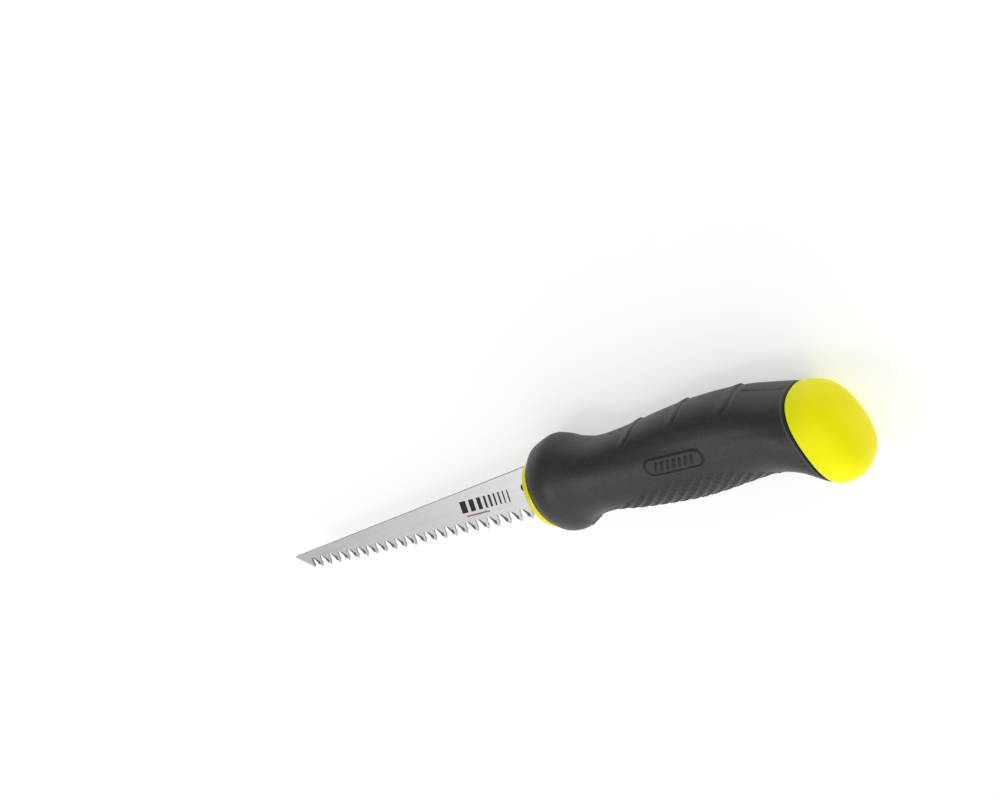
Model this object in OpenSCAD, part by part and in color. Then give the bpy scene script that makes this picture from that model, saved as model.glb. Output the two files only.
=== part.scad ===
// Drywall saw: a stiff, tapered, pointed blade fixed in a soft-covered handle.
// Lengths in mm.  +X runs from the blade's point to the handle's butt, +Y toward
// the blade's plain back, +Z out of the blade's flat side.
// The design is drawn with the point at x = 0, the back at y = 0 and the middle of
// the blade's thickness at z = 0; in_frame() then moves it into the shared frame,
// whose origin is the middle of the underside of the saw lying on its side.

/* [Blade] */
// length of blade showing in front of the handle
blade_reach = 156.5; // [150:0.5:162]
// thickness of the blade's steel
blade_t = 1.3; // [1.0:0.1:1.6]
// distance between neighbouring tooth points
tooth_pitch = 6.25; // [5.5:0.05:6.8]
// height of a tooth from gullet to point
tooth_depth = 5.3; // [4.5:0.1:5.5]
// share of the tooth's height above which its sides are steep
shoulder = 0.7; // [0.6:0.01:0.8]
// width of the ground bevel along one flank of each tooth
bevel_w = 1.1; // [0.6:0.1:1.2]
// depth of that bevel at the flank
bevel_d = 0.55; // [0.3:0.05:0.6]

/* [Handle] */
// thickness of the soft cover over the hard core
cover_t = 2.2; // [1.8:0.1:2.8]
// how much wider or narrower the handle is than drawn
girth = 1; // [0.94:0.01:1.05]
// length of front ring showing ahead of the soft cover
ring_reach = 4; // [3:0.25:4.5]
// how far the butt cap's back domes out
dome = 15.6; // [13:0.2:17]
// how far the middle of the cap's back sits below the middle of its rim
dome_drop = 1.4; // [0:0.2:4]

/* [Inside] */
// length of tang held inside the handle
tang_len = 64; // [50:1:80]
// rivet diameter
rivet_d = 5; // [4:0.5:6]
// gap left around parts that push together
gap = 0.15; // [0.1:0.05:0.3]

/* [Hidden] */

// where the soft cover begins and ends along x
cover_x0 = blade_reach + ring_reach;
cover_len = 123.5;
cover_x1 = cover_x0 + cover_len;
// where the core begins and ends, as distances behind the cover's front
core_s0 = 4;
core_s1 = 116;
core_x0 = cover_x0 + core_s0;

// handle sections: [distance behind the cover's front, top y, bottom y, half width, squareness]
SECTIONS = [
    [-4,     1.2, -30.2, 13.0, 1.9],
    [0,      3.0, -31.4, 13.7, 1.9],
    [4,      5.8, -33.2, 15.7, 2.0],
    [9.5,    7.4, -33.8, 17.1, 2.1],
    [14,     7.8, -32.8, 16.8, 2.2],
    [18,     6.1, -30.8, 15.8, 2.3],
    [23.5,   2.6, -29.5, 14.7, 2.4],
    [31.5,   0.0, -30.1, 14.1, 2.4],
    [42,    -0.6, -32.6, 14.2, 2.4],
    [55,    -0.3, -34.9, 14.5, 2.4],
    [68,     0.2, -36.7, 14.8, 2.4],
    [80,     0.1, -37.1, 15.1, 2.4],
    [92,    -0.9, -36.8, 15.7, 2.4],
    [104,   -3.1, -36.9, 16.8, 2.4],
    [115,   -6.7, -40.4, 18.0, 2.5],
    [125.5, -9.8, -49.2, 18.4, 2.5],
    [129,  -11.3, -48.2, 18.6, 2.5]
];
// rear sections lean over: x shift per mm of height at the cover's rear edge,
// growing from nothing at lean_from
lean_end = -0.10;
lean_from = 42;
// how square-shouldered the cap's dome is: 1 is an ellipse, less is squarer
dome_round = 0.77;

// teeth
tooth_x1 = 2 * tooth_pitch + 0.3;
tooth_y1 = -9.25;
tooth_slope = -0.104;
tooth_n = floor((blade_reach - 2 - tooth_x1) / tooth_pitch) + 1;
heel_x = tooth_x1 + (tooth_n - 0.5) * tooth_pitch;
end_tooth = [8, -8.1];
root_half = tooth_pitch / 2 - 0.9;
shoulder_half = 0.465 * tooth_pitch / 2;
gullet_top = 0.35;

// tang and its fixings; its back steps down to tang_top behind step_x
tang_top = -3;
tang_corner = 3;
step_x = cover_x0 + 3;
tang_low = tooth_y(heel_x) + tooth_depth;
tang_x1 = blade_reach + tang_len;
tang_y = (tang_top + tang_low) / 2;
rivets_x = [blade_reach + 22, tang_x1 - 13];
rivet_head_d = rivet_d + 4;
rivet_head_t = 1.6;
rivet_half = 6;
screws = [[blade_reach + 14, -26], [cover_x0 + 78, -24], [cover_x0 + 110, -28]];
screw_d = 3;
screw_head_d = 6;
screw_head_t = 2.2;
screw_half = 7;

// shared frame: lying on its side, origin in the middle of the underside
x_end = cover_x1 + dome + 0.35;
y_top = 7.8;
y_low = -48.81;
z_side = 18.27 * girth;

module in_frame() { translate([-x_end / 2, -(y_top + y_low) / 2, z_side]) children(); }

// ---- smooth handle surface ------------------------------------------------

// index of the section at or before distance s
function seg(s, i = 0) =
    (i >= len(SECTIONS) - 2 || s < SECTIONS[i + 1][0]) ? i : seg(s, i + 1);
// slope of column c at section i
function rate(c, i) =
    let (a = max(i - 1, 0), b = min(i + 1, len(SECTIONS) - 1))
    (SECTIONS[b][c] - SECTIONS[a][c]) / (SECTIONS[b][0] - SECTIONS[a][0]);
// column c at distance s, joined smoothly through the sections
function at(c, s) =
    let (i = seg(s), p = SECTIONS[i], q = SECTIONS[i + 1], d = q[0] - p[0], t = (s - p[0]) / d)
    (2 * pow(t, 3) - 3 * pow(t, 2) + 1) * p[c] + (pow(t, 3) - 2 * pow(t, 2) + t) * d * rate(c, i)
    + (3 * pow(t, 2) - 2 * pow(t, 3)) * q[c] + (pow(t, 3) - pow(t, 2)) * d * rate(c, i + 1);
function lean(s) = lean_end * max(0, min(1.05, (s - lean_from) / (cover_len - lean_from)));
function bent(v, n) = sign(v) * pow(abs(v), 2 / n);

// one closed ring of points at distance s, drawn in by inset, scaled about its middle,
// then pushed back along x and dropped in y
function ring(s, inset, angles, scaled = 1, push = 0, drop = 0) =
    let (mid = (at(1, s) + at(2, s)) / 2, h = ((at(1, s) - at(2, s)) / 2 - inset) * scaled,
         w = (at(3, s) * girth - inset) * scaled, n = at(4, s))
    [for (a = angles)
        let (y = h * bent(sin(a), n), z = w * bent(cos(a), n))
        [cover_x0 + s + push + lean(s) * y, mid + y - drop, z]];

// skin over a run of rings: sides, then both ends closed flat
function sides(rows, n) = [for (r = [0 : rows - 2], k = [0 : n - 1])
    [r * n + k, r * n + (k + 1) % n, (r + 1) * n + (k + 1) % n, (r + 1) * n + k]];
module skin(rings) {
    n = len(rings[0]);
    rows = len(rings);
    polyhedron(
        points = [for (r = rings) each r],
        faces = concat(sides(rows, n), [[for (k = [n - 1 : -1 : 0]) k]],
                       [[for (k = [0 : n - 1]) (rows - 1) * n + k]]),
        convexity = 6);
}

full_turn = [for (a = [0 : 10 : 350]) a];
half_turn = [for (a = [-90 : 10 : 90]) a];
fine_turn = [for (a = [0 : 7.5 : 352.5]) a];
core_steps = [for (s = [core_s0 : 3 : core_s1]) s];

// ---- parts ------------------------------------------------------------------

function tooth_y(x) = tooth_y1 + tooth_slope * (x - tooth_x1);
function tooth(x) = let (p = tooth_y(x), root = p + tooth_depth, neck = p + tooth_depth * (1 - shoulder))
    [[x - root_half, root], [x - shoulder_half, neck], [x, p], [x + shoulder_half, neck],
     [x + root_half, root]];
// top of the gullet in front of the tooth at x
function gullet(x) = [[x - tooth_pitch / 2, tooth_y(x - tooth_pitch / 2) + tooth_depth + gullet_top]];
tooth_at = [for (i = [0 : tooth_n - 1]) tooth_x1 + i * tooth_pitch];

module blade_outline() {
    polygon(concat(
        [[0, 0], end_tooth, end_tooth + [0.8, 3.2], end_tooth + [1.3, 4.1]],
        [for (x = tooth_at) each concat(gullet(x), tooth(x))],
        [[heel_x, tang_low], [tang_x1 - tang_corner, tang_low],
         [tang_x1, tang_low + tang_corner], [tang_x1, tang_top - tang_corner],
         [tang_x1 - tang_corner, tang_top], [step_x + 3, tang_top], [step_x, 0]]));
}

// wedge ground off a tooth flank that runs from point a down to point b
module flank_cut(a, b) {
    run = norm(b - a);
    turn = atan2(b[1] - a[1], b[0] - a[0]);
    translate([a[0], a[1], 0]) rotate([0, 0, turn]) rotate([90, 0, 90])
        linear_extrude(run + 0.5)
            polygon([[bevel_w, blade_t / 2], [bevel_w, blade_t / 2 + 1], [-0.04, blade_t / 2 + 1],
                     [-0.04, blade_t / 2 - bevel_d]]);
}

module blade_body() {
    difference() {
        translate([0, 0, -blade_t / 2]) linear_extrude(blade_t) blade_outline();
        for (x = tooth_at) {
            t = tooth(x);
            flank_cut(t[0], t[1]);
            translate([2 * x, 0, 0]) rotate([0, 180, 0]) flank_cut(t[0], t[1]);
        }
        for (x = rivets_x) translate([x, tang_y, -blade_t])
            cylinder(d = rivet_d + gap, h = 2 * blade_t, $fn = 48);
    }
}

module blade() { color("#C9CCCF") in_frame() blade_body(); }

// hard ring that closes the handle's front around the blade
module front_ring() {
    inner_h = 4 - gap;
    color("#F2EE1A") in_frame() difference() {
        union() {
            skin([ring(-ring_reach, 1.2, fine_turn), ring(-ring_reach + 0.15, 0.8, fine_turn),
                  ring(-ring_reach + 0.6, 0.45, fine_turn), ring(-ring_reach + 1.4, 0.35, fine_turn),
                  ring(-gap, 0.6, fine_turn)]);
            skin([ring(-1, cover_t + gap, full_turn), ring(inner_h, cover_t + gap + 2.2, full_turn)]);
        }
        translate([blade_reach - 5, tang_low - gap, -blade_t / 2 - gap])
            cube([ring_reach + 12, -tang_low + 2 * gap, blade_t + 2 * gap]);
    }
}

// one hard half of the core, on the +Z side of the blade
module core_half() {
    difference() {
        skin([for (s = core_steps) ring(s, cover_t + gap, half_turn)]);
        // pocket for half the tang's thickness
        translate([core_x0 - 1, tang_low - gap, -1])
            cube([tang_x1 + gap - core_x0 + 1, tang_top - tang_low + 2 * gap, 1 + blade_t / 2 + gap / 2]);
        translate([core_x0 - 1, tang_low - gap, -1])
            cube([4, -tang_low + 2 * gap, 1 + blade_t / 2 + gap / 2]);
        for (x = rivets_x) translate([x, tang_y, -1]) {
            cylinder(d = rivet_d + gap, h = 20, $fn = 48);
            translate([0, 0, 1 + rivet_half - rivet_head_t - gap])
                cylinder(d = rivet_head_d + 2 * gap, h = 20, $fn = 48);
        }
        for (p = screws) translate([p[0], p[1], -1]) cylinder(d = screw_d + gap, h = 20, $fn = 32);
    }
}

module core_left() {
    color("#E9E21A") in_frame() difference() {
        core_half();
        for (p = screws) translate([p[0], p[1], screw_half - screw_head_t - gap])
            cylinder(d = screw_head_d + 2 * gap, h = 20, $fn = 32);
    }
}

module core_right() {
    color("#E9E21A") in_frame() mirror([0, 0, 1]) core_half();
}

module tang_rivets() {
    color("#A9ACAF") in_frame() for (x = rivets_x) translate([x, tang_y, 0]) {
        cylinder(d = rivet_d, h = 2 * rivet_half - 1, center = true, $fn = 48);
        for (e = [0, 180]) rotate([e, 0, 0]) translate([0, 0, rivet_half - rivet_head_t])
            cylinder(d1 = rivet_head_d, d2 = rivet_head_d - 1.6, h = rivet_head_t, $fn = 48);
    }
}

module core_screws() {
    color("#8F9398") in_frame() for (p = screws) translate([p[0], p[1], 0]) difference() {
        union() {
            translate([0, 0, -screw_half]) cylinder(d = screw_d, h = 2 * screw_half - 1, $fn = 32);
            translate([0, 0, screw_half - screw_head_t])
                cylinder(d = screw_head_d, h = screw_head_t, $fn = 48);
        }
        for (q = [0, 90]) translate([0, 0, screw_half]) rotate([0, 0, q])
            cube([3.4, 0.8, 2.4], center = true);
    }
}

// soft cover: outer and inner skins joined by a rounded lip at each end
lip = [0.25, 0.7, 2.1];
cover_steps = concat(lip, [for (s = [4 : 2.6 : cover_len - 3]) s],
                     [for (i = [2 : -1 : 0]) cover_len - lip[i]]);
function edge_in(s) = let (e = min(s, cover_len - s)) e < 0.5 ? 0.35 : e < 1 ? 0.08 : 0;
module soft_grip() {
    n = len(fine_turn);
    outer = [for (s = cover_steps) ring(s, edge_in(s), fine_turn)];
    inner = [for (s = concat([cover_len - lip[0]], [for (s = [core_s1 : -3 : 1]) s], [lip[0]]))
        ring(s, cover_t, fine_turn)];
    rows = concat([ring(0, 0.9, fine_turn)], outer, [ring(cover_len, 0.9, fine_turn)], inner);
    m = len(rows);
    color("#2E2F31") in_frame() polyhedron(
        points = [for (r = rows) each r],
        faces = [for (r = [0 : m - 1], k = [0 : n - 1])
            [r * n + k, r * n + (k + 1) % n, ((r + 1) % m) * n + (k + 1) % n, ((r + 1) % m) * n + k]],
        convexity = 8);
}

// domed hard cap pushed into the rear of the handle
module butt_cap() {
    rim_s = cover_len + 1.3;
    plug_s = core_s1 + 1;
    color("#F2EE1A") in_frame() union() {
        skin(concat(
            [ring(cover_len + gap, 1.0, fine_turn), ring(cover_len + 2 * gap, 0.5, fine_turn),
             ring(cover_len + 0.7, 0.2, fine_turn)],
            [for (a = [0 : 10 : 80])
                let (out = pow(sin(a), dome_round), r = pow(cos(a), dome_round))
                ring(rim_s, 0.1, fine_turn, r, (dome - rim_s + cover_len) * out, dome_drop * out)]));
        skin([for (s = [plug_s, cover_len + 0.7]) ring(s, cover_t + 2 * gap, full_turn)]);
    }
}

blade();
front_ring();
core_left();
core_right();
tang_rivets();
core_screws();
soft_grip();
butt_cap();
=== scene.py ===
"""The looks of a drywall saw: a pointed steel blade in a soft-covered handle.

Design places are millimetres, as in the CAD model: x runs from the blade's point towards the
butt, y is 0 on the blade's plain back and negative towards the teeth, and z is 0 in the middle
of the blade's thickness.  shared() turns them into the frame's metres.  Along the handle, s is
the distance behind the front edge of the soft cover, and an angle of 0 is the middle of the
side that faces up, 90 the middle of its back and -90 the middle of its belly.
"""
import math

import bmesh
import bpy
import numpy as np
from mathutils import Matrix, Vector


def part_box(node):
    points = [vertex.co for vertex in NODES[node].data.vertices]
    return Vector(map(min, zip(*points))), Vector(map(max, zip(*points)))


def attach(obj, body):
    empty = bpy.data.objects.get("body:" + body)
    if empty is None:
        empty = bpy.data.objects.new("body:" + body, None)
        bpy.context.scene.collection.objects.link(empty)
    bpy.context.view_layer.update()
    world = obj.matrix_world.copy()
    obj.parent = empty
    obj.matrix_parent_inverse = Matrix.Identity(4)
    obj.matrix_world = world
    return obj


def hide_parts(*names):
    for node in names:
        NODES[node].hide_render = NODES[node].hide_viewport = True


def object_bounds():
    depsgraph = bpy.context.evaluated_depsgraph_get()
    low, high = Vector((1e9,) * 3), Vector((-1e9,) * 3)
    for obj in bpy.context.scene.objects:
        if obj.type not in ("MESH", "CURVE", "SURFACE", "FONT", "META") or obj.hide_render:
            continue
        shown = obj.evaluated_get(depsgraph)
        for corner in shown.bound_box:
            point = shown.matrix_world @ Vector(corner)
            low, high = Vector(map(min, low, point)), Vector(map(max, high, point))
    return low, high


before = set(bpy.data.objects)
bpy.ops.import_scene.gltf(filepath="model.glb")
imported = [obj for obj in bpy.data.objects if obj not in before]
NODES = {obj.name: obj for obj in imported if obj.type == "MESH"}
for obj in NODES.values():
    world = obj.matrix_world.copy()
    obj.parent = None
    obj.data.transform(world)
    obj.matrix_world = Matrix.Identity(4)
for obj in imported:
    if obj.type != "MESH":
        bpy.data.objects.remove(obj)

MM = 0.001
CAD_LOW, CAD_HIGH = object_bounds()
BLADE_LOW, BLADE_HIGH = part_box("blade")
RING_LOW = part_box("front_ring")[0]
ORIGIN = np.array([BLADE_LOW.x, BLADE_HIGH.y, (BLADE_LOW.z + BLADE_HIGH.z) / 2])
BLADE_T = (BLADE_HIGH.z - BLADE_LOW.z) / MM
BLADE_END = (BLADE_HIGH.x - BLADE_LOW.x) / MM        # rear end of the tang

RING_REACH = 4.0                                     # yellow ring ahead of the soft cover
RING_FRONT = (RING_LOW.x - ORIGIN[0]) / MM
COVER_X0 = RING_FRONT + RING_REACH                   # front edge of the soft cover
COVER_LEN = 123.5
COVER_T = 2.2                                        # thickness of the cover's wall
GAP = 0.15                                           # clearance between fitted pieces

# handle sections: distance s, y of the back, y of the belly, half width, squareness
SECTIONS = np.array([
    [-4.0, 1.2, -30.2, 13.0, 1.9],
    [0.0, 3.0, -31.4, 13.7, 1.9],
    [4.0, 5.8, -33.2, 15.7, 2.0],
    [9.5, 7.4, -33.8, 17.1, 2.1],
    [14.0, 7.8, -32.8, 16.8, 2.2],
    [18.0, 6.1, -30.8, 15.8, 2.3],
    [23.5, 2.6, -29.5, 14.7, 2.4],
    [31.5, 0.0, -30.1, 14.1, 2.4],
    [42.0, -0.6, -32.6, 14.2, 2.4],
    [55.0, -0.3, -34.9, 14.5, 2.4],
    [68.0, 0.2, -36.7, 14.8, 2.4],
    [80.0, 0.1, -37.1, 15.1, 2.4],
    [92.0, -0.9, -36.8, 15.7, 2.4],
    [104.0, -3.1, -36.9, 16.8, 2.4],
    [115.0, -6.7, -40.4, 18.0, 2.5],
    [125.5, -9.8, -49.2, 18.4, 2.5],
    [129.0, -11.3, -48.2, 18.6, 2.5],
])
LEAN_FROM, LEAN_END = 42.0, -0.10                    # sections behind this s lean over


def shared(points):
    """Design millimetres to the frame's metres."""
    return ORIGIN + MM * np.asarray(points, float)


# ---- smooth handle surface --------------------------------------------------------------

def at(column, s):
    """A column of SECTIONS at distances s, joined smoothly through the sections."""
    s = np.asarray(s, float)
    places, values = SECTIONS[:, 0], SECTIONS[:, column]
    index = np.arange(len(places))
    before, after = np.maximum(index - 1, 0), np.minimum(index + 1, len(places) - 1)
    slopes = (values[after] - values[before]) / (places[after] - places[before])
    i = np.clip(np.searchsorted(places, s, side="right") - 1, 0, len(places) - 2)
    d = places[i + 1] - places[i]
    t = (s - places[i]) / d
    return ((2 * t**3 - 3 * t**2 + 1) * values[i] + (t**3 - 2 * t**2 + t) * d * slopes[i]
            + (3 * t**2 - 2 * t**3) * values[i + 1] + (t**3 - t**2) * d * slopes[i + 1])


def bent(v, n):
    """A sine or cosine bent so that the section turns squarer; n = 2 leaves it an ellipse."""
    return np.sign(v) * np.abs(v) ** (2 / n)


def skin_points(s, inset, angle, scaled=1.0, push=0.0, drop=0.0):
    """Points of the handle's skin in design mm: angle in degrees, one row per distance s.

    They lie inset mm inside the skin.  The cap's dome is scaled, pushed back and dropped from it.
    """
    s, inset, scaled, push, drop = (np.atleast_1d(np.asarray(v, float))[:, None]
                                    for v in (s, inset, scaled, push, drop))
    a = np.radians(np.asarray(angle, float))[None, :]
    top, low, half, n = (at(k, s) for k in (1, 2, 3, 4))
    y = ((top - low) / 2 - inset) * scaled * bent(np.sin(a), n)
    z = (half - inset) * scaled * bent(np.cos(a), n)
    lean = LEAN_END * np.clip((s - LEAN_FROM) / (COVER_LEN - LEAN_FROM), 0, 1.05)
    return np.stack([COVER_X0 + s + push + lean * y, (top + low) / 2 + y - drop, z + 0 * s], -1)


def smooth(low, high, v):
    """0 below low, 1 above high, and a soft step between."""
    t = np.clip((v - low) / (high - low), 0, 1)
    return t * t * (3 - 2 * t)


def even(v, step):
    """Places from the first of v to its last; step is the spacing wanted at each of v."""
    grown = np.concatenate([[0], np.cumsum((v[1:] - v[:-1]) * 2 / (step[1:] + step[:-1]))])
    count = int(math.ceil(grown[-1]))
    return np.interp(np.linspace(0, grown[-1], count + 1), grown, v)


# ---- mesh making ------------------------------------------------------------------------

def new_object(name, verts, faces):
    """A smooth-shaded object of these points, in the frame's metres."""
    mesh = bpy.data.meshes.new(name)
    mesh.from_pydata([tuple(v) for v in verts], [], faces)
    mesh.validate()
    mesh.update()
    mesh.polygons.foreach_set("use_smooth", [True] * len(mesh.polygons))
    obj = bpy.data.objects.new(name, mesh)
    bpy.context.scene.collection.objects.link(obj)
    return obj


def object_from(bm, name):
    """An object that takes over this closed mesh, with its faces turned out."""
    bmesh.ops.recalc_face_normals(bm, faces=bm.faces)
    mesh = bpy.data.meshes.new(name)
    bm.to_mesh(mesh)
    bm.free()
    obj = bpy.data.objects.new(name, mesh)
    bpy.context.scene.collection.objects.link(obj)
    return obj


def around(rows, count):
    """Quads between neighbouring closed rows of count points."""
    return [(r * count + k, r * count + (k + 1) % count,
             (r + 1) * count + (k + 1) % count, (r + 1) * count + k)
            for r in range(rows - 1) for k in range(count)]


def fill_between(bm, rings):
    """Fills the flat inside the first ring of vertices and outside the others."""
    edges = [bm.edges.get((a, b)) or bm.edges.new((a, b))
             for ring in rings for a, b in zip(ring, ring[1:] + ring[:1])]
    bmesh.ops.triangle_fill(bm, edges=edges, use_beauty=True)


def set_point_value(obj, name, values):
    """A number at each point of a mesh, for its material to read."""
    layer = obj.data.attributes.new(name, "FLOAT", "POINT")
    layer.data.foreach_set("value", np.asarray(values, np.float32).ravel())


def outward(obj):
    """Turns every face of a closed mesh to face out."""
    bm = bmesh.new()
    bm.from_mesh(obj.data)
    bmesh.ops.recalc_face_normals(bm, faces=bm.faces)
    bm.to_mesh(obj.data)
    bm.free()


def mount(obj, node):
    """The piece stands for a CAD node, which it hides, and rides with the root body."""
    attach(obj, "root")
    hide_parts(node)


# ---- node material helpers --------------------------------------------------------------

class Look:
    """A node material under construction, with short calls for the nodes that it needs."""

    def __init__(self, name):
        self.material = bpy.data.materials.new(name)
        self.material.use_nodes = True
        self.tree = self.material.node_tree
        self.shader = self.tree.nodes["Principled BSDF"]

    def node(self, kind, **inputs):
        made = self.tree.nodes.new(kind)
        for key, value in inputs.items():
            self.feed(made.inputs[key.replace("_", " ")], value)
        return made

    def feed(self, socket, value):
        if isinstance(value, bpy.types.NodeSocket):
            self.tree.links.new(value, socket)
        else:
            socket.default_value = value

    def set(self, **inputs):
        for key, value in inputs.items():
            self.feed(self.shader.inputs[key.replace("_", " ")], value)

    def place(self, stretch=(1, 1, 1)):
        """Object coordinates in millimetres, stretched."""
        where = self.node("ShaderNodeTexCoord").outputs["Object"]
        mapping = self.node("ShaderNodeMapping", Vector=where)
        mapping.inputs["Scale"].default_value = [1 / MM * v for v in stretch]
        return mapping.outputs["Vector"]

    def noise(self, scale, detail=3.0, rough=0.5, stretch=(1, 1, 1)):
        """Soft noise around 0.5, scale per millimetre."""
        made = self.node("ShaderNodeTexNoise", Vector=self.place(stretch), Scale=scale,
                         Detail=detail, Roughness=rough)
        return made.outputs["Fac"]

    def cells(self, scale):
        """Distance from the middles of cells, scale per millimetre."""
        made = self.node("ShaderNodeTexVoronoi", Vector=self.place(), Scale=scale)
        return made.outputs["Distance"]

    def value(self, name):
        """A number stored on the mesh."""
        made = self.tree.nodes.new("ShaderNodeAttribute")
        made.attribute_name = name
        return made.outputs["Fac"]

    def spread(self, value, low, high, to_low=0.0, to_high=1.0):
        """A value stretched from low..high to to_low..to_high, and held within that."""
        made = self.tree.nodes.new("ShaderNodeMapRange")
        for key, v in zip(("Value", "From Min", "From Max", "To Min", "To Max"),
                          (value, low, high, to_low, to_high)):
            self.feed(made.inputs[key], v)
        return made.outputs["Result"]

    def maths(self, kind, a, b=0.0):
        made = self.tree.nodes.new("ShaderNodeMath")
        made.operation = kind
        self.feed(made.inputs[0], a)
        self.feed(made.inputs[1], b)
        return made.outputs["Value"]

    def mix(self, factor, a, b):
        made = self.tree.nodes.new("ShaderNodeMix")
        made.data_type = "RGBA"
        self.feed(made.inputs["Factor"], factor)
        first, second = [socket for socket in made.inputs if socket.type == "RGBA"]
        self.feed(first, a)
        self.feed(second, b)
        return [socket for socket in made.outputs if socket.type == "RGBA"][0]

    def bump(self, height, distance, strength=1.0, normal=None):
        """A normal bumped by a height of this many millimetres, over another normal."""
        made = self.node("ShaderNodeBump", Height=height, Strength=strength)
        made.inputs["Distance"].default_value = distance * MM
        if normal is not None:
            self.feed(made.inputs["Normal"], normal)
        return made.outputs["Normal"]


def grey(v):
    return (v, v, v, 1.0)


# ---- soft cover -------------------------------------------------------------------------

FRONT_GAP, REAR_GAP = 0.85, 0.4                      # joints between the cover and the hard ends
FINE, COARSE, SEAM = 0.32, 0.8, 0.19                 # mesh spacing: patterned, plain, parting line
ROW_SHARE = 0.8                                      # spacing of plain rows, of COARSE
SEAM_REACH = 1.5                                     # arc beside the parting line meshed like it
PATTERN_S = (33.0, 104.0)                            # stretch of s that is meshed finely
PATTERN_ANGLE = 24.0                                 # and the angle below which it is
COLUMNS_S = 68.0                                     # where the spacing of the columns is measured
ANGLE_SAMPLES, RUN_SAMPLES = 1441, 2400              # places from which the spacing is worked out
SKIN_ENDS = (2.2, COVER_LEN - 1.9)                   # s of the first and last row between the lips
# (s, inset) of the rows of the front lip, mirrored for the rear one, then of those that turn in
LIP = [(0.25, 0.35), (0.6, 0.17), (1.0, 0.08), (1.6, 0.03)]
FRONT_TURN = [(-FRONT_GAP, 1.2), (0.05 - FRONT_GAP, 0.85), (0.0, 0.8)]
REAR_TURN = [(COVER_LEN, 0.9), (COVER_LEN, 1.0), (COVER_LEN + REAR_GAP, 1.3)]
LIP_FADE = (0.4, 2.5)                                # relief grows over this distance from an end
LINING_ROWS, LINING_END = 26, 0.25
BLACK_FRONT, BLACK_REAR = 3, 2                       # lip rows painted dark, as painted shade in the joint
SUNK_FULL = 0.35                                     # depth at which a mark is painted fully dark, as shade in its hollow
CREST_HIGHLIGHT = 0.8                                     # share of the lips' painted highlight that a crest gets

CRESCENTS = (56.0, 80.0, 103.2)                      # crests of the thumb grooves on the back
CRESCENT_DEEP, CRESCENT_LESS = 0.6, 0.28             # depth, and how much less it is on the back
CRESCENT_TOP = (70, 88)                              # angles over which the depth changes
CRESCENT_FADE = (43, 60)                             # angles over which a groove fades in
CRESCENT_BOW, BOW_FROM, BOW_OVER = 5.0, 75, 31       # a crest bows ahead below this angle
CRESCENT_FALL = (-6.5, -1.0, -0.2)                   # start, valley and wall's top, from the crest
BADGE = (71.5, 2.2)                                  # (s, arc) of the sunk badge's middle
BADGE_HALF = (13.0, 3.3)
BADGE_TILT = math.radians(-4.0)
BADGE_DEEP, BADGE_LINE = 0.45, 0.42
BAR_COUNT, BAR_PITCH, BAR_HALF, BAR_LEAN = 7, 2.7, 1.3, 0.4
BAR_DEEP, BAR_LINE = 0.42, 0.5
PATCH_MIDDLE, PATCH_TOP = 66.0, -4.7                 # (s, arc) of the top of the patterned patch
PATCH_FRONT, PATCH_REAR = (36, 9.0, 2.0), (37, 9.5, 2.6)         # its reach, fall and power
BAND_PITCH = 5.3                                     # belly pattern: ridges across the grip
BAND_SLOPE = 1.35                                    # s gained per mm of arc along a ridge
BAND_START = (68.0, -8.0)
BAND_SHIFT = 0.27                                    # of a cell, from one band to the next
CELL_PITCH = 3.35
NICKS = (43.0, 47.0, 77.0, 106.0)                    # s of the nicks on the parting line
DEEP_LINE = (104, 107)                               # the parting line deepens over this s
# crease along the side: (s, arc)
CREASE = np.array([[40.0, 11.0], [64.0, 9.3], [82.0, 6.4], [95.0, 5.4], [105.0, 5.8],
                   [115.0, 7.5], [126.0, 11.2]])
CREASE_TALL, CREASE_HALF, CREASE_FADE = 0.55, 8.0, (38, 56)


def groove(distance, width):
    """A smooth hump, 1 at distance 0 and nearly gone at twice the width."""
    return np.exp(-(distance / width) ** 2)


def thumb_grooves(s, angle):
    """Crescents across the back: a long fall to a valley, then a short steep wall to a crest.

    Gives the height, and how close a place is to a crest, where a highlight is painted.
    """
    height, line = 0, 0
    start, valley, top = CRESCENT_FALL
    depth = CRESCENT_DEEP - CRESCENT_LESS * smooth(*CRESCENT_TOP, angle)
    fade = smooth(*CRESCENT_FADE, angle)
    for crest in CRESCENTS:
        d = s - crest + CRESCENT_BOW * (np.maximum(0, BOW_FROM - angle) / BOW_OVER) ** 2
        fall = smooth(start, valley, d) * (d < valley)
        wall = (1 - smooth(valley, top, d)) * (d >= valley)
        height = height + fade * (0.1 * groove(d - 0.25, 0.5) - depth * (fall + wall))
        line = line + fade * groove(d - 0.1, 0.45)
    return height, line


def side_crease(s, arc):
    """A soft raised fold along the grip's side."""
    d = arc - np.interp(s, CREASE[:, 0], CREASE[:, 1])
    near = np.maximum(0, 1 - np.hypot(d, 0.5) / CREASE_HALF)
    return CREASE_TALL * smooth(*CREASE_FADE, s) * near


def badge(s, arc):
    """A plain sunk badge: a rounded outline round a row of slanted bars."""
    c, t = math.cos(BADGE_TILT), math.sin(BADGE_TILT)
    along = (s - BADGE[0]) * c + (arc - BADGE[1]) * t
    up = (arc - BADGE[1]) * c - (s - BADGE[0]) * t
    round_end = np.maximum(np.abs(along) - (BADGE_HALF[0] - BADGE_HALF[1]), 0)
    height = -BADGE_DEEP * groove(np.hypot(round_end, up) - BADGE_HALF[1], BADGE_LINE)
    for k in range(BAR_COUNT):
        off = along - BAR_LEAN * up - BAR_PITCH * (k - (BAR_COUNT - 1) / 2)
        bar = np.hypot(off, np.maximum(np.abs(up) - BAR_HALF, 0))
        height = height - BAR_DEEP * groove(bar, BAR_LINE)
    return height


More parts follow.
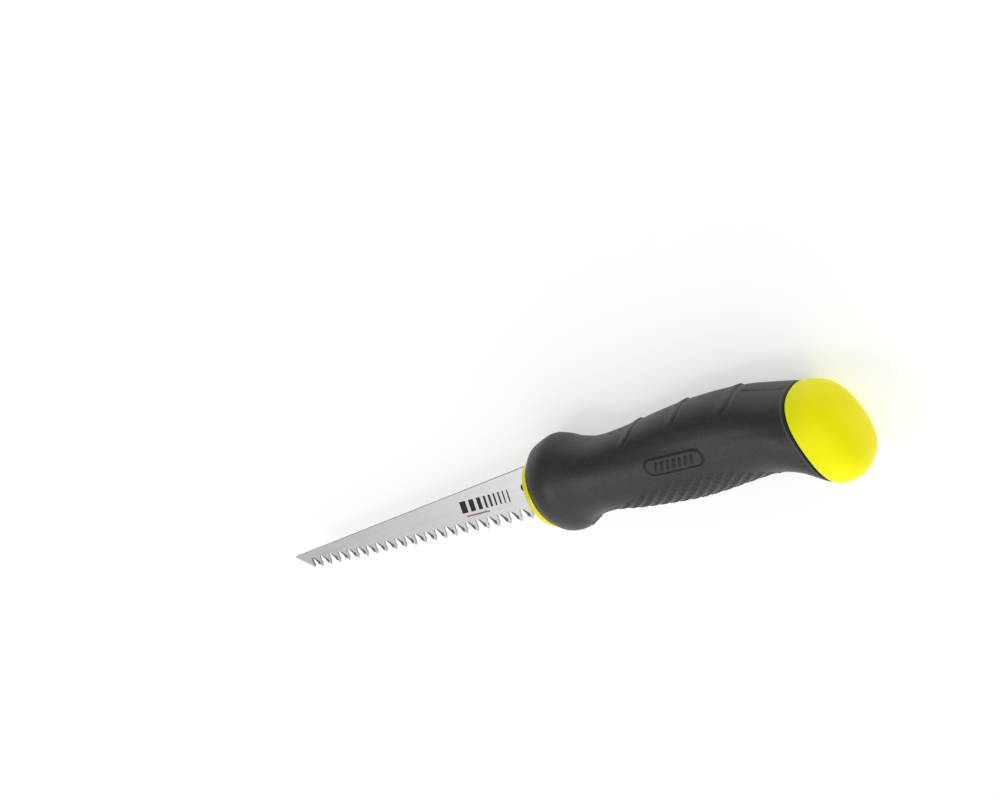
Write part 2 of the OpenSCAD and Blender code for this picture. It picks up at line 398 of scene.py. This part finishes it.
def belly_pattern(s, arc):
    """Bands of small arcs and dashes between smooth ridges, inside a lens-shaped patch."""
    reach, fall, power = (np.where(s < PATCH_MIDDLE, a, b)
                          for a, b in zip(PATCH_FRONT, PATCH_REAR))
    edge = PATCH_TOP - fall * (np.abs(s - PATCH_MIDDLE) / reach) ** power
    inside = smooth(-0.2, 0.5, edge - arc)
    # q counts the bands; across and along are places in a band, in mm and in cells
    length = math.hypot(BAND_SLOPE, 1)
    q = (s - BAND_START[0] - BAND_SLOPE * (arc - BAND_START[1])) / BAND_PITCH
    across = (q - np.floor(q) - 0.5) * BAND_PITCH / length
    along = (BAND_SLOPE * s + arc) / length / CELL_PITCH + BAND_SHIFT * np.floor(q)
    cell = (along - np.floor(along) - 0.5) * CELL_PITCH
    in_band = 1 - smooth(0.95, 1.25, np.abs(across))
    arch = groove(cell - 0.75 + 0.6 * across**2, 0.3)
    dash = groove(np.hypot(cell + 0.85, np.maximum(np.abs(across) - 0.45, 0)), 0.34)
    ridge = smooth(1.1, 1.5, np.abs(across))
    return inside * (0.1 * ridge - in_band * (0.3 * arch + 0.36 * dash) - 0.05)


def parting_line(s, off_line):
    """The mould's join along the middle of the back, with a few small nicks on it."""
    height = (-0.16 * smooth(*DEEP_LINE, s) - 0.03) * groove(off_line, 0.2)
    for nick in NICKS:
        height = height - 0.3 * groove(np.hypot(s - nick, off_line * 1.5), 0.5)
    return height


def half_columns():
    """Angles of the columns of the near half, from the middle of the belly to that of the back."""
    angle = np.linspace(-90, 90, ANGLE_SAMPLES)
    outline = skin_points(COLUMNS_S, 0, angle)[0]
    length = np.concatenate([[0], np.cumsum(np.linalg.norm(np.diff(outline, axis=0), axis=1))])
    step = np.where(angle < PATTERN_ANGLE, FINE, COARSE)
    step = np.where(length > length[-1] - SEAM_REACH, SEAM, step)
    return np.interp(even(length, step), length, angle)


def outer_rows():
    """Distance s and inset of each row, lip to lip, closer together over the pattern."""
    run = np.linspace(*SKIN_ENDS, RUN_SAMPLES)
    plain = (run < PATTERN_S[0]) | (run > PATTERN_S[1])
    middle = even(run, np.where(plain, COARSE * ROW_SHARE, FINE))
    rear = LIP[::-1]
    s = np.concatenate([[p[0] for p in LIP], middle, [COVER_LEN - p[0] for p in rear]])
    inset = np.concatenate([[p[1] for p in LIP], 0 * middle, [p[1] for p in rear]])
    return s, inset


def near_relief(s, angle, near):
    """Relief on the near half of the skin: of the marks alone, of everything, and the crests."""
    steps = np.linalg.norm(np.diff(near[:, :, 1:], axis=1), axis=2)
    arc = np.concatenate([np.zeros((len(s), 1)), np.cumsum(steps, axis=1)], axis=1)
    off_line = arc[:, -1:] - arc
    arc = arc - np.array([np.interp(0, angle, row) for row in arc])[:, None]
    rows = s[:, None]
    ends = smooth(*LIP_FADE, rows) * smooth(*LIP_FADE, COVER_LEN - rows)
    marks = ends * (badge(rows, arc) + belly_pattern(rows, arc) + parting_line(rows, off_line))
    thumbs, crests = thumb_grooves(rows, angle[None, :])
    return marks, marks + ends * (thumbs + side_crease(rows, arc)), crests


def make_soft_grip():
    """The cover as one closed skin: relief outside, a plain lining, and lips at both ends."""
    half = half_columns()
    angle = np.concatenate([half, 180 - half[-2:0:-1]])
    mirror = np.concatenate([np.arange(len(half)), np.arange(len(half) - 2, 0, -1)])
    s, inset = outer_rows()
    skin = skin_points(s, inset, angle)
    marks, height, crests = (values[:, mirror]
                             for values in near_relief(s, half, skin[:, :len(half)]))
    along = np.gradient(skin, axis=0)
    across = np.roll(skin, -1, axis=1) - np.roll(skin, 1, axis=1)
    normal = np.cross(across, along)
    normal /= np.linalg.norm(normal, axis=2, keepdims=True)
    outer = skin + normal * height[:, :, None]

    front, rear = (skin_points(*zip(*turn), angle) for turn in (FRONT_TURN, REAR_TURN))
    lining_s = np.linspace(COVER_LEN - LINING_END, LINING_END, LINING_ROWS)
    points = np.concatenate([front, outer, rear, skin_points(lining_s, COVER_T, angle)])
    count, total = len(angle), len(points)
    end = (total - 1) * count
    faces = around(total, count)
    faces += [(end + k, end + (k + 1) % count, (k + 1) % count, k) for k in range(count)]
    obj = new_object("grip_cover", shared(points).reshape(-1, 3), faces)
    outward(obj)

    first, last = len(front), len(front) + len(s)
    painted_shade, rim = np.zeros((2, total, count))
    # painted shade: sunk marks darken with their depth, and the lip rows at both joints are painted
    # dark
    painted_shade[first:last] = np.clip(-marks / SUNK_FULL, 0, 1)
    painted_shade[:first + BLACK_FRONT] = painted_shade[last - BLACK_REAR:last + len(rear)] = 1.0
    # painted highlight along the crests of the thumb grooves and on one lip row beside each joint
    rim[first:last] = CREST_HIGHLIGHT * crests
    rim[first + BLACK_FRONT] = rim[last - BLACK_REAR - 1] = 1.0
    set_point_value(obj, "painted_shade", painted_shade)
    set_point_value(obj, "rim", rim)
    obj.data.materials.append(soft_black())
    mount(obj, "soft_grip")


def soft_black():
    look = Look("soft_black")
    patches = look.noise(0.09, 3.0, 0.55)
    speckle = look.noise(1.0, 3.0, 0.75)
    grain = look.noise(2.6, 4.0, 0.6)
    pebble = look.cells(1.9)
    base = look.mix(look.spread(patches, 0.35, 0.65), grey(0.021), grey(0.025))
    base = look.mix(look.spread(speckle, 0.4, 0.62, 0.0, 0.7), base, grey(0.036))
    dust = look.spread(look.cells(0.42), 0.05, 0.0, 0.0, 0.35)
    base = look.mix(dust, base, grey(0.12))
    # painted shade in the sunk marks and on the lips at the joints
    base = look.mix(look.maths("MULTIPLY", look.value("painted_shade"), 0.9), base, grey(0.008))
    # painted highlight where rim is set: on the crests and lip rows
    base = look.mix(look.maths("MULTIPLY", look.value("rim"), 0.55), base, grey(0.12))
    rough = look.spread(look.noise(0.5, 3.0), 0.3, 0.7, 0.40, 0.48)
    coarse = look.bump(pebble, 0.05, 0.35)
    look.set(Base_Color=base, Roughness=rough, Normal=look.bump(grain, 0.05, 0.5, coarse))
    look.set(Specular_IOR_Level=0.4)
    return look.material


# ---- yellow end pieces --------------------------------------------------------------------

END_ANGLES = np.arange(0, 360, 2.5)
CAP_SIDE = 1.3                                       # straight part of the cap before its dome
CAP_INSET = 0.1                                      # how far the dome lies inside the skin
CAP_BAND = (14.0, 62.0)                              # its painted highlight band on the side fades over this turn
DOME = 15.6                                          # reach of the butt cap behind the cover
DOME_DROP = 1.4                                      # how far its end lies towards the belly
DOME_ROUND = 0.77                                    # 1 is an ellipse, less is squarer
DOME_TURNS = np.concatenate([np.linspace(0, 80, 33), np.linspace(81.5, 89.4, 7)])    # degrees
PLUG_LEN = 6.5                                       # part of the cap inside the cover
# (s behind the joint, inset) of the cap's rounded edge
CAP_EDGE = [(0.0, 1.2), (0.03, 0.6), (0.15, 0.35), (0.4, 0.2), (0.65, 0.13)]
RING_PLUG = 3.85                                     # reach of the ring into the cover
# (s, inset) of the ring's rows, from its front face to the end of its plug
RING_ROWS = [(-RING_REACH, 1.6), (-RING_REACH + 0.03, 1.35), (-RING_REACH + 0.12, 1.0),
             (-3.75, 0.7), (-3.4, 0.47), (-3.0, 0.37), (-2.4, 0.35), (-1.2, 0.42),
             (-FRONT_GAP - 0.15, 0.5), (-FRONT_GAP - 0.05, 0.65), (-FRONT_GAP - 0.05, 1.7),
             (-GAP, COVER_T + GAP), (RING_PLUG, COVER_T + GAP + 2.2)]
RING_SLOT = (-18.75, 0.3)                            # y of the ends of the blade's slot
RING_BRIGHT = 0.7                                    # how far it has the cap's rim colour
RING_SHARP = 40                                      # degrees; steeper edges stay sharp


def make_butt_cap():
    """The cap as one closed skin: a plug inside the cover, a rounded edge and the dome."""
    start, plug_s = COVER_LEN + REAR_GAP, COVER_LEN - PLUG_LEN
    plug_in = COVER_T + 2 * GAP
    plug = [(plug_s, plug_in + 0.5), (plug_s + 0.2, plug_in), (start, plug_in)]
    rows = plug + [(start + s, inset) for s, inset in CAP_EDGE]
    side = skin_points(*zip(*rows), END_ANGLES)
    turn = np.radians(DOME_TURNS)
    out, scaled = np.sin(turn) ** DOME_ROUND, np.cos(turn) ** DOME_ROUND
    dome = skin_points(np.full(len(turn), COVER_LEN + CAP_SIDE), np.full(len(turn), CAP_INSET),
                       END_ANGLES, scaled, (DOME - CAP_SIDE) * out, DOME_DROP * out)
    points = np.concatenate([side, dome])
    count, total = len(END_ANGLES), len(points)
    faces = around(total, count)
    faces += [list(range(count))[::-1], list(range((total - 1) * count, total * count))]
    obj = new_object("butt_cap_shell", shared(points).reshape(-1, 3), faces)
    outward(obj)
    # painted highlight: the cap's rounded edge and a side band of its dome take the brighter yellow
    painted_highlight = np.zeros((total, count))
    painted_highlight[len(plug):len(rows)] = 1.0
    painted_highlight[len(rows):] = 1 - smooth(*CAP_BAND, DOME_TURNS)[:, None]
    set_point_value(obj, "rim", painted_highlight)
    obj.data.materials.append(hard_yellow())
    mount(obj, "butt_cap")


def slot_corners(x):
    """Corners of the blade's slot in the ring, at this x."""
    low, high = RING_SLOT
    half = BLADE_T / 2 + GAP
    return [shared((x, y, z)) for y, z in ((low, -half), (high, -half), (high, half), (low, half))]


def make_front_ring():
    """The ring as one closed skin, with the blade's slot through it."""
    points = skin_points(*zip(*RING_ROWS), END_ANGLES)
    count, total = len(END_ANGLES), len(points)
    verts = list(shared(points).reshape(-1, 3))
    front = len(verts)
    back = front + 4
    verts += slot_corners(RING_FRONT) + slot_corners(COVER_X0 + RING_PLUG)
    faces = around(total, count)
    faces += [(front + k, front + (k + 1) % 4, back + (k + 1) % 4, back + k) for k in range(4)]
    obj = new_object("front_ring_shell", verts, faces)
    bm = bmesh.new()
    bm.from_mesh(obj.data)
    bm.verts.ensure_lookup_table()
    for ring, slot in ((0, front), ((total - 1) * count, back)):
        fill_between(bm, (bm.verts[ring:ring + count], bm.verts[slot:slot + 4]))
    bmesh.ops.recalc_face_normals(bm, faces=bm.faces)
    bm.to_mesh(obj.data)
    bm.free()
    sharp_by_angle(obj, RING_SHARP)
    set_point_value(obj, "rim", np.full(len(obj.data.vertices), RING_BRIGHT))
    obj.data.materials.append(bpy.data.materials["hard_yellow"])
    mount(obj, "front_ring")


def sharp_by_angle(obj, degrees):
    """Smooth shading that keeps edges steeper than this."""
    bm = bmesh.new()
    bm.from_mesh(obj.data)
    for face in bm.faces:
        face.smooth = True
    for edge in bm.edges:
        if len(edge.link_faces) == 2:
            edge.smooth = edge.calc_face_angle(0) < math.radians(degrees)
    bm.to_mesh(obj.data)
    bm.free()


def hard_yellow():
    look = Look("hard_yellow")
    patches = look.noise(0.06, 2.0, 0.5)
    base = look.mix(look.spread(patches, 0.35, 0.65), (0.84, 0.76, 0.0, 1), (0.88, 0.81, 0.0, 1))
    # painted highlight: brighter yellow where rim is set, on the cap's rounded edge and side band;
    # the ring takes part of it all over
    base = look.mix(look.value("rim"), base, (0.99, 0.96, 0.01, 1))
    rough = look.spread(look.noise(0.8, 3.0), 0.3, 0.7, 0.36, 0.46)
    wave = look.bump(look.noise(0.12, 2.0), 0.25, 0.25)
    grain = look.bump(look.noise(3.0, 3.0), 0.02, 0.4, wave)
    look.set(Base_Color=base, Roughness=rough, Normal=grain)
    look.set(Specular_IOR_Level=0.14, Specular_Tint=(1.0, 0.95, 0.35, 1))
    return look.material


# ---- blade and its print ------------------------------------------------------------------

TOOTH_PITCH, TOOTH_DEPTH = 6.25, 5.3
TOOTH_X1, TOOTH_Y1 = 2 * TOOTH_PITCH + 0.3, -9.25    # point of the first regular tooth
TOOTH_SLOPE = -0.104                                 # of the line along the points
TOOTH_COUNT = 23
NECK_UP = 0.3 * TOOTH_DEPTH                          # height of a tooth's neck over its point
GULLET_HALF, NECK_HALF = 0.6, 0.465 * TOOTH_PITCH / 2
GULLET_TOP = 0.35                                    # rise of the gullet's rounded top
ROOT_STEPS = 4                                       # rim steps from a gullet's middle to a root
GROUND_DEEP = 0.32                                   # depth of the ground facets at the neck
POINT_DEEP = 0.9 * GROUND_DEEP                       # and at the point
GROUND_TOP = (-1.4, TOOTH_DEPTH + 0.2)               # inner edge of the ground part of a tooth:
GROUND_MID = (0.5, 2.9)                              # its top, its middle and its lower end
GROUND_IN = (-0.1, 1.1)
FLANK_MID_UP = 3.3                                   # height of the corner halfway up a flank
WALL_SPLIT = 0.5                                     # upper share of the rim's wall, painted dark as shade; the lower share stays bright
WALL, LOW_WALL = 1.0, 0.0                            # how dark each sort of worked face is painted: partly the ground steel's own tone, partly painted shade and dark reflection
FLANK, POINT, BORE = 1.0, 0.3, 0.3
END_TOOTH = [(8.0, -8.1), (8.8, -4.9), (9.15, -4.2)]             # its point, and up its back
TANG_TOP, TANG_CORNER, TANG_LEN = -3.0, 3.0, 64.0
TANG_STEP, TANG_STEP_LEN = 3.0, 3.0                  # step down to the tang, behind COVER_X0
RIVET_D = 5.0
RIVET_AHEAD, RIVET_BEHIND = 22.0, 13.0               # from the ring's face, and from the tang's end


def tooth_y(x):
    return TOOTH_Y1 + TOOTH_SLOPE * (x - TOOTH_X1)


def facet_height(a, b, c, where):
    """Height at an (x, y) place of the plane through three points."""
    a, b, c = (np.array(p, float) for p in (a, b, c))
    normal = np.cross(b - a, c - a)
    return a[2] - (normal[0] * (where[0] - a[0]) + normal[1] * (where[1] - a[1])) / normal[2]


def tooth_rim(gullet):
    """One tooth about its own point: rim points (x, up, how far the ground side is cut down).

    The rim runs from the middle of the gullet before the tooth to just before the middle of the
    one after.  One facet runs out into the gullet, two lie along the flank, one is at the point.
    """
    shares = [k / ROOT_STEPS for k in range(ROOT_STEPS + 1)]
    root = [(-TOOTH_PITCH / 2 + GULLET_HALF * v, TOOTH_DEPTH + gullet * math.sqrt(1 - v**2))
            for v in shares]
    neck, deep_neck = (-NECK_HALF, NECK_UP), (-NECK_HALF, NECK_UP, -GROUND_DEEP)
    up_flank = (FLANK_MID_UP - NECK_UP) / (TOOTH_DEPTH - NECK_UP)
    flank = (neck[0] + (root[-1][0] - neck[0]) * up_flank, FLANK_MID_UP)
    high, middle, inner = ((*place, 0.0) for place in (GROUND_TOP, GROUND_MID, GROUND_IN))
    deep_flank = (*flank, facet_height(middle, inner, deep_neck, flank))
    deep_root = (*root[-1], facet_height(high, middle, deep_flank, root[-1]))
    run_out = (high, (*root[0], 0.0), deep_root)
    rim = [(*place, facet_height(*run_out, place)) for place in root]
    rim += [deep_flank, deep_neck]
    # where the last facet runs out on the flank after the point
    point = (0.0, 0.0, -POINT_DEEP)
    share = POINT_DEEP / (POINT_DEEP + facet_height(inner, deep_neck, point, (NECK_HALF, NECK_UP)))
    out = (NECK_HALF * share, NECK_UP * share)
    rim += [(-out[0], out[1], -POINT_DEEP + (POINT_DEEP - GROUND_DEEP) * share),
            point, (*out, 0.0), (NECK_HALF, NECK_UP, 0.0), (-flank[0], flank[1], 0.0)]
    return rim + [(-x, up, 0.0) for x, up in root[:0:-1]]


def blade_rim():
    """Rim of the blade: places (x, y), how far each side's flat is ground down there, the number
    of each tooth's first place, and the y of the tang's lower edge."""
    tooth = tooth_rim(GULLET_TOP)
    back = tooth[:1] + tooth[:0:-1]
    places = [(0.0, 0.0)] + END_TOOTH
    cuts = [(0.0, 0.0)] * len(places)
    starts = []
    for k in range(TOOTH_COUNT):
        x = TOOTH_X1 + k * TOOTH_PITCH
        starts.append(len(places))
        for (dx, up, cut), (_, _, other) in zip(tooth, back):
            places.append((x + dx, tooth_y(x + (dx if up >= TOOTH_DEPTH else 0)) + up))
            cuts.append((cut, other))
    heel = TOOTH_X1 + (TOOTH_COUNT - 0.5) * TOOTH_PITCH
    low = tooth_y(heel) + TOOTH_DEPTH
    step = COVER_X0 + TANG_STEP
    tang = [(heel, low + GULLET_TOP), (heel + GULLET_HALF, low),
            (BLADE_END - TANG_CORNER, low), (BLADE_END, low + TANG_CORNER),
            (BLADE_END, TANG_TOP - TANG_CORNER), (BLADE_END - TANG_CORNER, TANG_TOP),
            (step + TANG_STEP_LEN, TANG_TOP), (step, 0.0)]
    return places + tang, cuts + [(0.0, 0.0)] * len(tang), starts, low


def blade_point(bm, x, y, z):
    return bm.verts.new(shared((x, y, z)))


def blade_face(bm, corners, value):
    """A worked face; the value is how dark it is painted, partly the ground steel's own tone and
    partly painted shade and dark reflection.
    """
    bm.faces.new(corners)[bm.faces.layers.float["ground"]] = value


def ground_facets(bm, rim, side, starts):
    """The ground facets on one side of the teeth; gives the edge of the flat that is left."""
    size = starts[1] - starts[0]
    root, flank, neck, out = (ROOT_STEPS + k for k in (0, 1, 2, 5))
    loop = rim[:starts[0]]
    for k, s in enumerate(starts):
        tooth = rim[s:s + size + 1][::side]
        x = TOOTH_X1 + TOOTH_PITCH * k
        high, middle, inner = (
            blade_point(bm, x + side * dx, tooth_y(x) + up, side * BLADE_T / 2)
            for dx, up in (GROUND_TOP, GROUND_MID, GROUND_IN))
        blade_face(bm, tooth[:root + 1] + [high], FLANK)
        blade_face(bm, [high, tooth[root], tooth[flank], middle], FLANK)
        blade_face(bm, [middle, tooth[flank], tooth[neck], inner], FLANK)
        blade_face(bm, [inner] + tooth[neck:out + 1], POINT)
        loop += ([tooth[0], high, middle, inner] + tooth[out:])[::side][:-1]
    return loop + rim[starts[-1] + size:]


def rivet_hole(bm, x, y):
    """The wall of a rivet's hole; gives its upper and its lower edge."""
    turns = [math.radians(a) for a in range(0, 360, 10)]
    radius = (RIVET_D + GAP) / 2
    upper, lower = ([blade_point(bm, x + radius * math.cos(a), y + radius * math.sin(a), z)
                     for a in turns] for z in (BLADE_T / 2, -BLADE_T / 2))
    for k in range(len(turns)):
        n = (k + 1) % len(turns)
        blade_face(bm, (upper[k], lower[k], lower[n], upper[n]), BORE)
    return upper, lower


def make_blade():
    """Plate with its ground teeth, as one closed mesh: two flats, a rim wall and the facets."""
    places, cuts, starts, tang_low = blade_rim()
    bm = bmesh.new()
    bm.faces.layers.float.new("ground")
    upper = [blade_point(bm, *place, BLADE_T / 2 + cut[0]) for place, cut in zip(places, cuts)]
    lower = [blade_point(bm, *place, -BLADE_T / 2 - cut[1]) for place, cut in zip(places, cuts)]
    ridge = [bm.verts.new(a.co + (b.co - a.co) * WALL_SPLIT) for a, b in zip(upper, lower)]
    toothed = range(starts[0], starts[-1] + starts[1] - starts[0])
    for k in range(len(places)):
        n = (k + 1) % len(places)
        # painted shade: the upper half of the rim's wall is painted dark, and on the teeth the
        # lower half is left bright
        blade_face(bm, (upper[k], upper[n], ridge[n], ridge[k]), WALL)
        blade_face(bm, (ridge[k], ridge[n], lower[n], lower[k]),
                   LOW_WALL if k in toothed else WALL)
    flats = [ground_facets(bm, rim, side, starts) for side, rim in ((1, upper), (-1, lower))]
    holes = [rivet_hole(bm, x, (TANG_TOP + tang_low) / 2)
             for x in (RING_FRONT + RIVET_AHEAD, RING_FRONT + TANG_LEN - RIVET_BEHIND)]
    for side, flat in enumerate(flats):
        fill_between(bm, [flat] + [hole[side] for hole in holes])
    obj = object_from(bm, "blade_plate")
    obj.data.materials.append(brushed_steel("blade_steel", 0.64, 0.31, worked_and_shaded=True))
    mount(obj, "blade")


def brushed_steel(name, colour, roughness, streak=(0.05, 2.4, 2.4), worked_and_shaded=False):
    """Brushed steel; the last flag roughens the ground faces of a piece and paints them darker,
    partly their own duller tone and partly painted shade and dark reflection.
    """
    look = Look(name)
    streaks = look.noise(1.0, 4.0, 0.65, streak)
    fine = look.noise(2.5, 2.0, 0.6, (0.2, 2.0, 2.0))
    cloud = look.noise(0.05, 2.0, 0.5)
    base = look.mix(look.spread(streaks, 0.3, 0.7), grey(colour * 0.93), grey(colour * 1.03))
    base = look.mix(look.spread(fine, 0.35, 0.75, 0.0, 0.5), base, grey(colour * 0.9))
    base = look.mix(look.spread(cloud, 0.3, 0.7, 0.0, 0.3), base, grey(colour * 1.06))
    rough = look.spread(streaks, 0.3, 0.7, roughness - 0.03, roughness + 0.05)
    if worked_and_shaded:
        ground = look.value("ground")
        # ground faces painted darker: partly the steel's own duller tone, partly painted shade and
        # dark reflection
        base = look.mix(look.spread(ground, 0.3, 1.0, 0.0, 0.8), base, grey(colour * 0.12))
        rough = look.maths("ADD", rough, look.maths("MULTIPLY", ground, 0.08))
    look.set(Base_Color=base, Metallic=1.0, Roughness=rough, Normal=look.bump(streaks, 0.012, 0.3))
    return look.material


def finish_node(node, material, bevel=0.0):
    """A better material on a CAD node, and edges rounded by bevel mm on it."""
    obj = NODES[node]
    obj.data.materials.clear()
    obj.data.materials.append(material)
    if bevel:
        weld = obj.modifiers.new("weld", "WELD")
        weld.merge_threshold = 0.002 * MM
        rounded = obj.modifiers.new("rounded", "BEVEL")
        rounded.width = bevel * MM
        rounded.segments = 2
        rounded.limit_method = "ANGLE"
        rounded.angle_limit = math.radians(35)
        rounded.harden_normals = False


def ink_shape(bm, outline):
    """Ink with this (x, y) outline, in design mm, on the blade's upper flat."""
    low, high = ([bm.verts.new(shared((x, y, z))) for x, y in outline] for z in INK_Z)
    bm.faces.new(low[::-1])
    bm.faces.new(high)
    n = len(outline)
    for k in range(n):
        bm.faces.new((low[k], low[(k + 1) % n], high[(k + 1) % n], high[k]))


PRINT_START, PRINT_MIDDLE, PRINT_SLOPE = 112.0, -6.9, -0.088     # x, y and slope of its middle
# (place along the line, width) of the bars, and of the thin line under them
INK_BARS = ((0.0, 3.4), (5.2, 2.8), (9.8, 2.2), (13.8, 1.2), (16.6, 1.2), (19.4, 0.9), (22.0, 0.9),
            (24.6, 0.7), (27.1, 0.7))
INK_LINE = ((0.4, 13.2),)
INK_TALL, INK_LINE_TALL, INK_LINE_RISE = 5.6, 0.75, -4.6
INK_SLANT = 0.32
INK_Z = (BLADE_T / 2 - 0.05, BLADE_T / 2 + 0.02)     # the ink's foot, sunk in the blade, and top
DOT, DOT_RADII = (150.1, -8.7), (2.4, 2.1)


def make_print(name, bars, tall, rise, colour):
    """Plain slanted bars of ink, this tall and this far over the middle of the print."""
    bm = bmesh.new()
    for start, width in bars:
        corners = []
        for along, up in ((start, -tall / 2), (start + width, -tall / 2), (start + width, tall / 2),
                          (start, tall / 2)):
            corners.append((PRINT_START + along + INK_SLANT * up,
                            PRINT_MIDDLE + PRINT_SLOPE * along + rise + up))
        ink_shape(bm, corners)
    ink_piece(name, bm, colour)


def ink_piece(name, bm, colour):
    """Slightly worn ink of this colour, which rides with the blade."""
    obj = object_from(bm, name)
    look = Look(name)
    worn = look.spread(look.noise(2.2, 4.0, 0.7), 0.28, 0.4)
    look.set(Base_Color=look.mix(worn, grey(0.25), colour),
             Roughness=look.spread(look.noise(1.5), 0.3, 0.7, 0.42, 0.55),
             Specular_IOR_Level=0.2)
    obj.data.materials.append(look.material)
    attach(obj, "root")


def make_dot():
    bm = bmesh.new()
    turns = [math.radians(a) for a in range(0, 360, 15)]
    ink_shape(bm, [(DOT[0] + DOT_RADII[0] * math.cos(a), DOT[1] + DOT_RADII[1] * math.sin(a))
                   for a in turns])
    ink_piece("ink_dot", bm, grey(0.02))


# ---- hidden pieces ------------------------------------------------------------------------

def core_plastic():
    look = Look("core_plastic")
    base = look.mix(look.spread(look.noise(0.1), 0.3, 0.7), (0.80, 0.72, 0.03, 1),
                    (0.86, 0.80, 0.05, 1))
    look.set(Base_Color=base, Roughness=look.spread(look.noise(0.9), 0.3, 0.7, 0.45, 0.6),
             Normal=look.bump(look.noise(1.6), 0.04, 0.5))
    return look.material


# ---- stage --------------------------------------------------------------------------------

EYE = (531.44, 133.06, 433.05)                       # camera, in design mm
EYE_TURN = (-31.652, 28.213, -36.902)                # and how it is turned, in degrees
SENSOR, LENS = 36.0, 50.68                           # millimetres
CLIP = (0.01, 50.0)                                  # metres
KEY_FROM = Vector((-0.45, -0.05, 0.89))              # direction of the key light
KEY_AWAY, KEY_SIZE, KEY_POWER = 1.3, (0.3, 0.28), 2.2            # metres, metres, watts
FLOOR_SIZE, FLOOR_CELLS = 8.0, 8
FLOOR_GLOW = 0.56                                    # the floor is a lit white sheet
BRIGHT_SIDE = Vector((0.42, -0.85, 0.2))             # direction of the studio's bright side
WORLD_GRADE = (-0.6, 0.7, 0.27, 1.2)                 # cosines to it, and strengths, dim and bright


def make_camera():
    data = bpy.data.cameras.new("camera")
    data.sensor_width = SENSOR
    data.lens = LENS
    data.clip_start, data.clip_end = CLIP
    camera = bpy.data.objects.new("camera", data)
    camera.location = shared(EYE)
    camera.rotation_euler = [math.radians(v) for v in EYE_TURN]
    bpy.context.scene.collection.objects.link(camera)
    bpy.context.scene.camera = camera


def make_floor():
    row = FLOOR_CELLS + 1
    verts = [((i / FLOOR_CELLS - 0.5) * FLOOR_SIZE, (j / FLOOR_CELLS - 0.5) * FLOOR_SIZE, CAD_LOW.z)
             for j in range(row) for i in range(row)]
    faces = [(j * row + i, j * row + i + 1, (j + 1) * row + i + 1, (j + 1) * row + i)
             for j in range(FLOOR_CELLS) for i in range(FLOOR_CELLS)]
    floor = new_object("floor", verts, faces)
    look = Look("floor")
    base = look.mix(look.noise(0.01), grey(0.50), grey(0.52))
    look.set(Base_Color=base, Roughness=0.9, Specular_IOR_Level=0.0, Emission_Color=grey(1.0),
             Emission_Strength=FLOOR_GLOW)
    floor.data.materials.append(look.material)


def make_key():
    data = bpy.data.lights.new("key", "AREA")
    data.shape = "RECTANGLE"
    data.size, data.size_y = KEY_SIZE
    data.energy = KEY_POWER
    light = bpy.data.objects.new("key", data)
    direction = KEY_FROM.normalized()
    light.location = (CAD_LOW + CAD_HIGH) / 2 + direction * KEY_AWAY
    light.rotation_mode = "QUATERNION"
    light.rotation_quaternion = direction.to_track_quat("Z", "Y")
    bpy.context.scene.collection.objects.link(light)


def make_world():
    """A wide soft studio: bright over the saw's belly and butt, dim behind its back."""
    world = bpy.data.worlds.new("studio")
    world.use_nodes = True
    nodes, links = world.node_tree.nodes, world.node_tree.links
    where = nodes.new("ShaderNodeTexCoord")
    facing = nodes.new("ShaderNodeVectorMath")
    facing.operation = "DOT_PRODUCT"
    facing.inputs[1].default_value = BRIGHT_SIDE.normalized()
    grade = nodes.new("ShaderNodeMapRange")
    grade.interpolation_type = "SMOOTHSTEP"
    for key, value in zip(("From Min", "From Max", "To Min", "To Max"), WORLD_GRADE):
        grade.inputs[key].default_value = value
    links.new(where.outputs["Generated"], facing.inputs[0])
    links.new(facing.outputs["Value"], grade.inputs["Value"])
    nodes["Background"].inputs["Color"].default_value = (1, 1, 1, 1)
    links.new(grade.outputs["Result"], nodes["Background"].inputs["Strength"])
    bpy.context.scene.world = world


# ---- everything ---------------------------------------------------------------------------

make_camera()
make_soft_grip()
make_butt_cap()
make_front_ring()
make_blade()
make_print("ink_bars", INK_BARS, INK_TALL, 0.0, grey(0.012))
make_print("ink_line", INK_LINE, INK_LINE_TALL, INK_LINE_RISE, (0.33, 0.16, 0.12, 1))
make_dot()
finish_node("core_left", core_plastic())
finish_node("core_right", bpy.data.materials["core_plastic"])
finish_node("tang_rivets", brushed_steel("rivet_steel", 0.55, 0.4, (2.0, 2.0, 0.2)), 0.15)
finish_node("core_screws", brushed_steel("screw_steel", 0.5, 0.45, (2.0, 2.0, 0.2)), 0.1)
make_floor()
make_key()
make_world()
bpy.context.scene.view_settings.view_transform = "Standard"
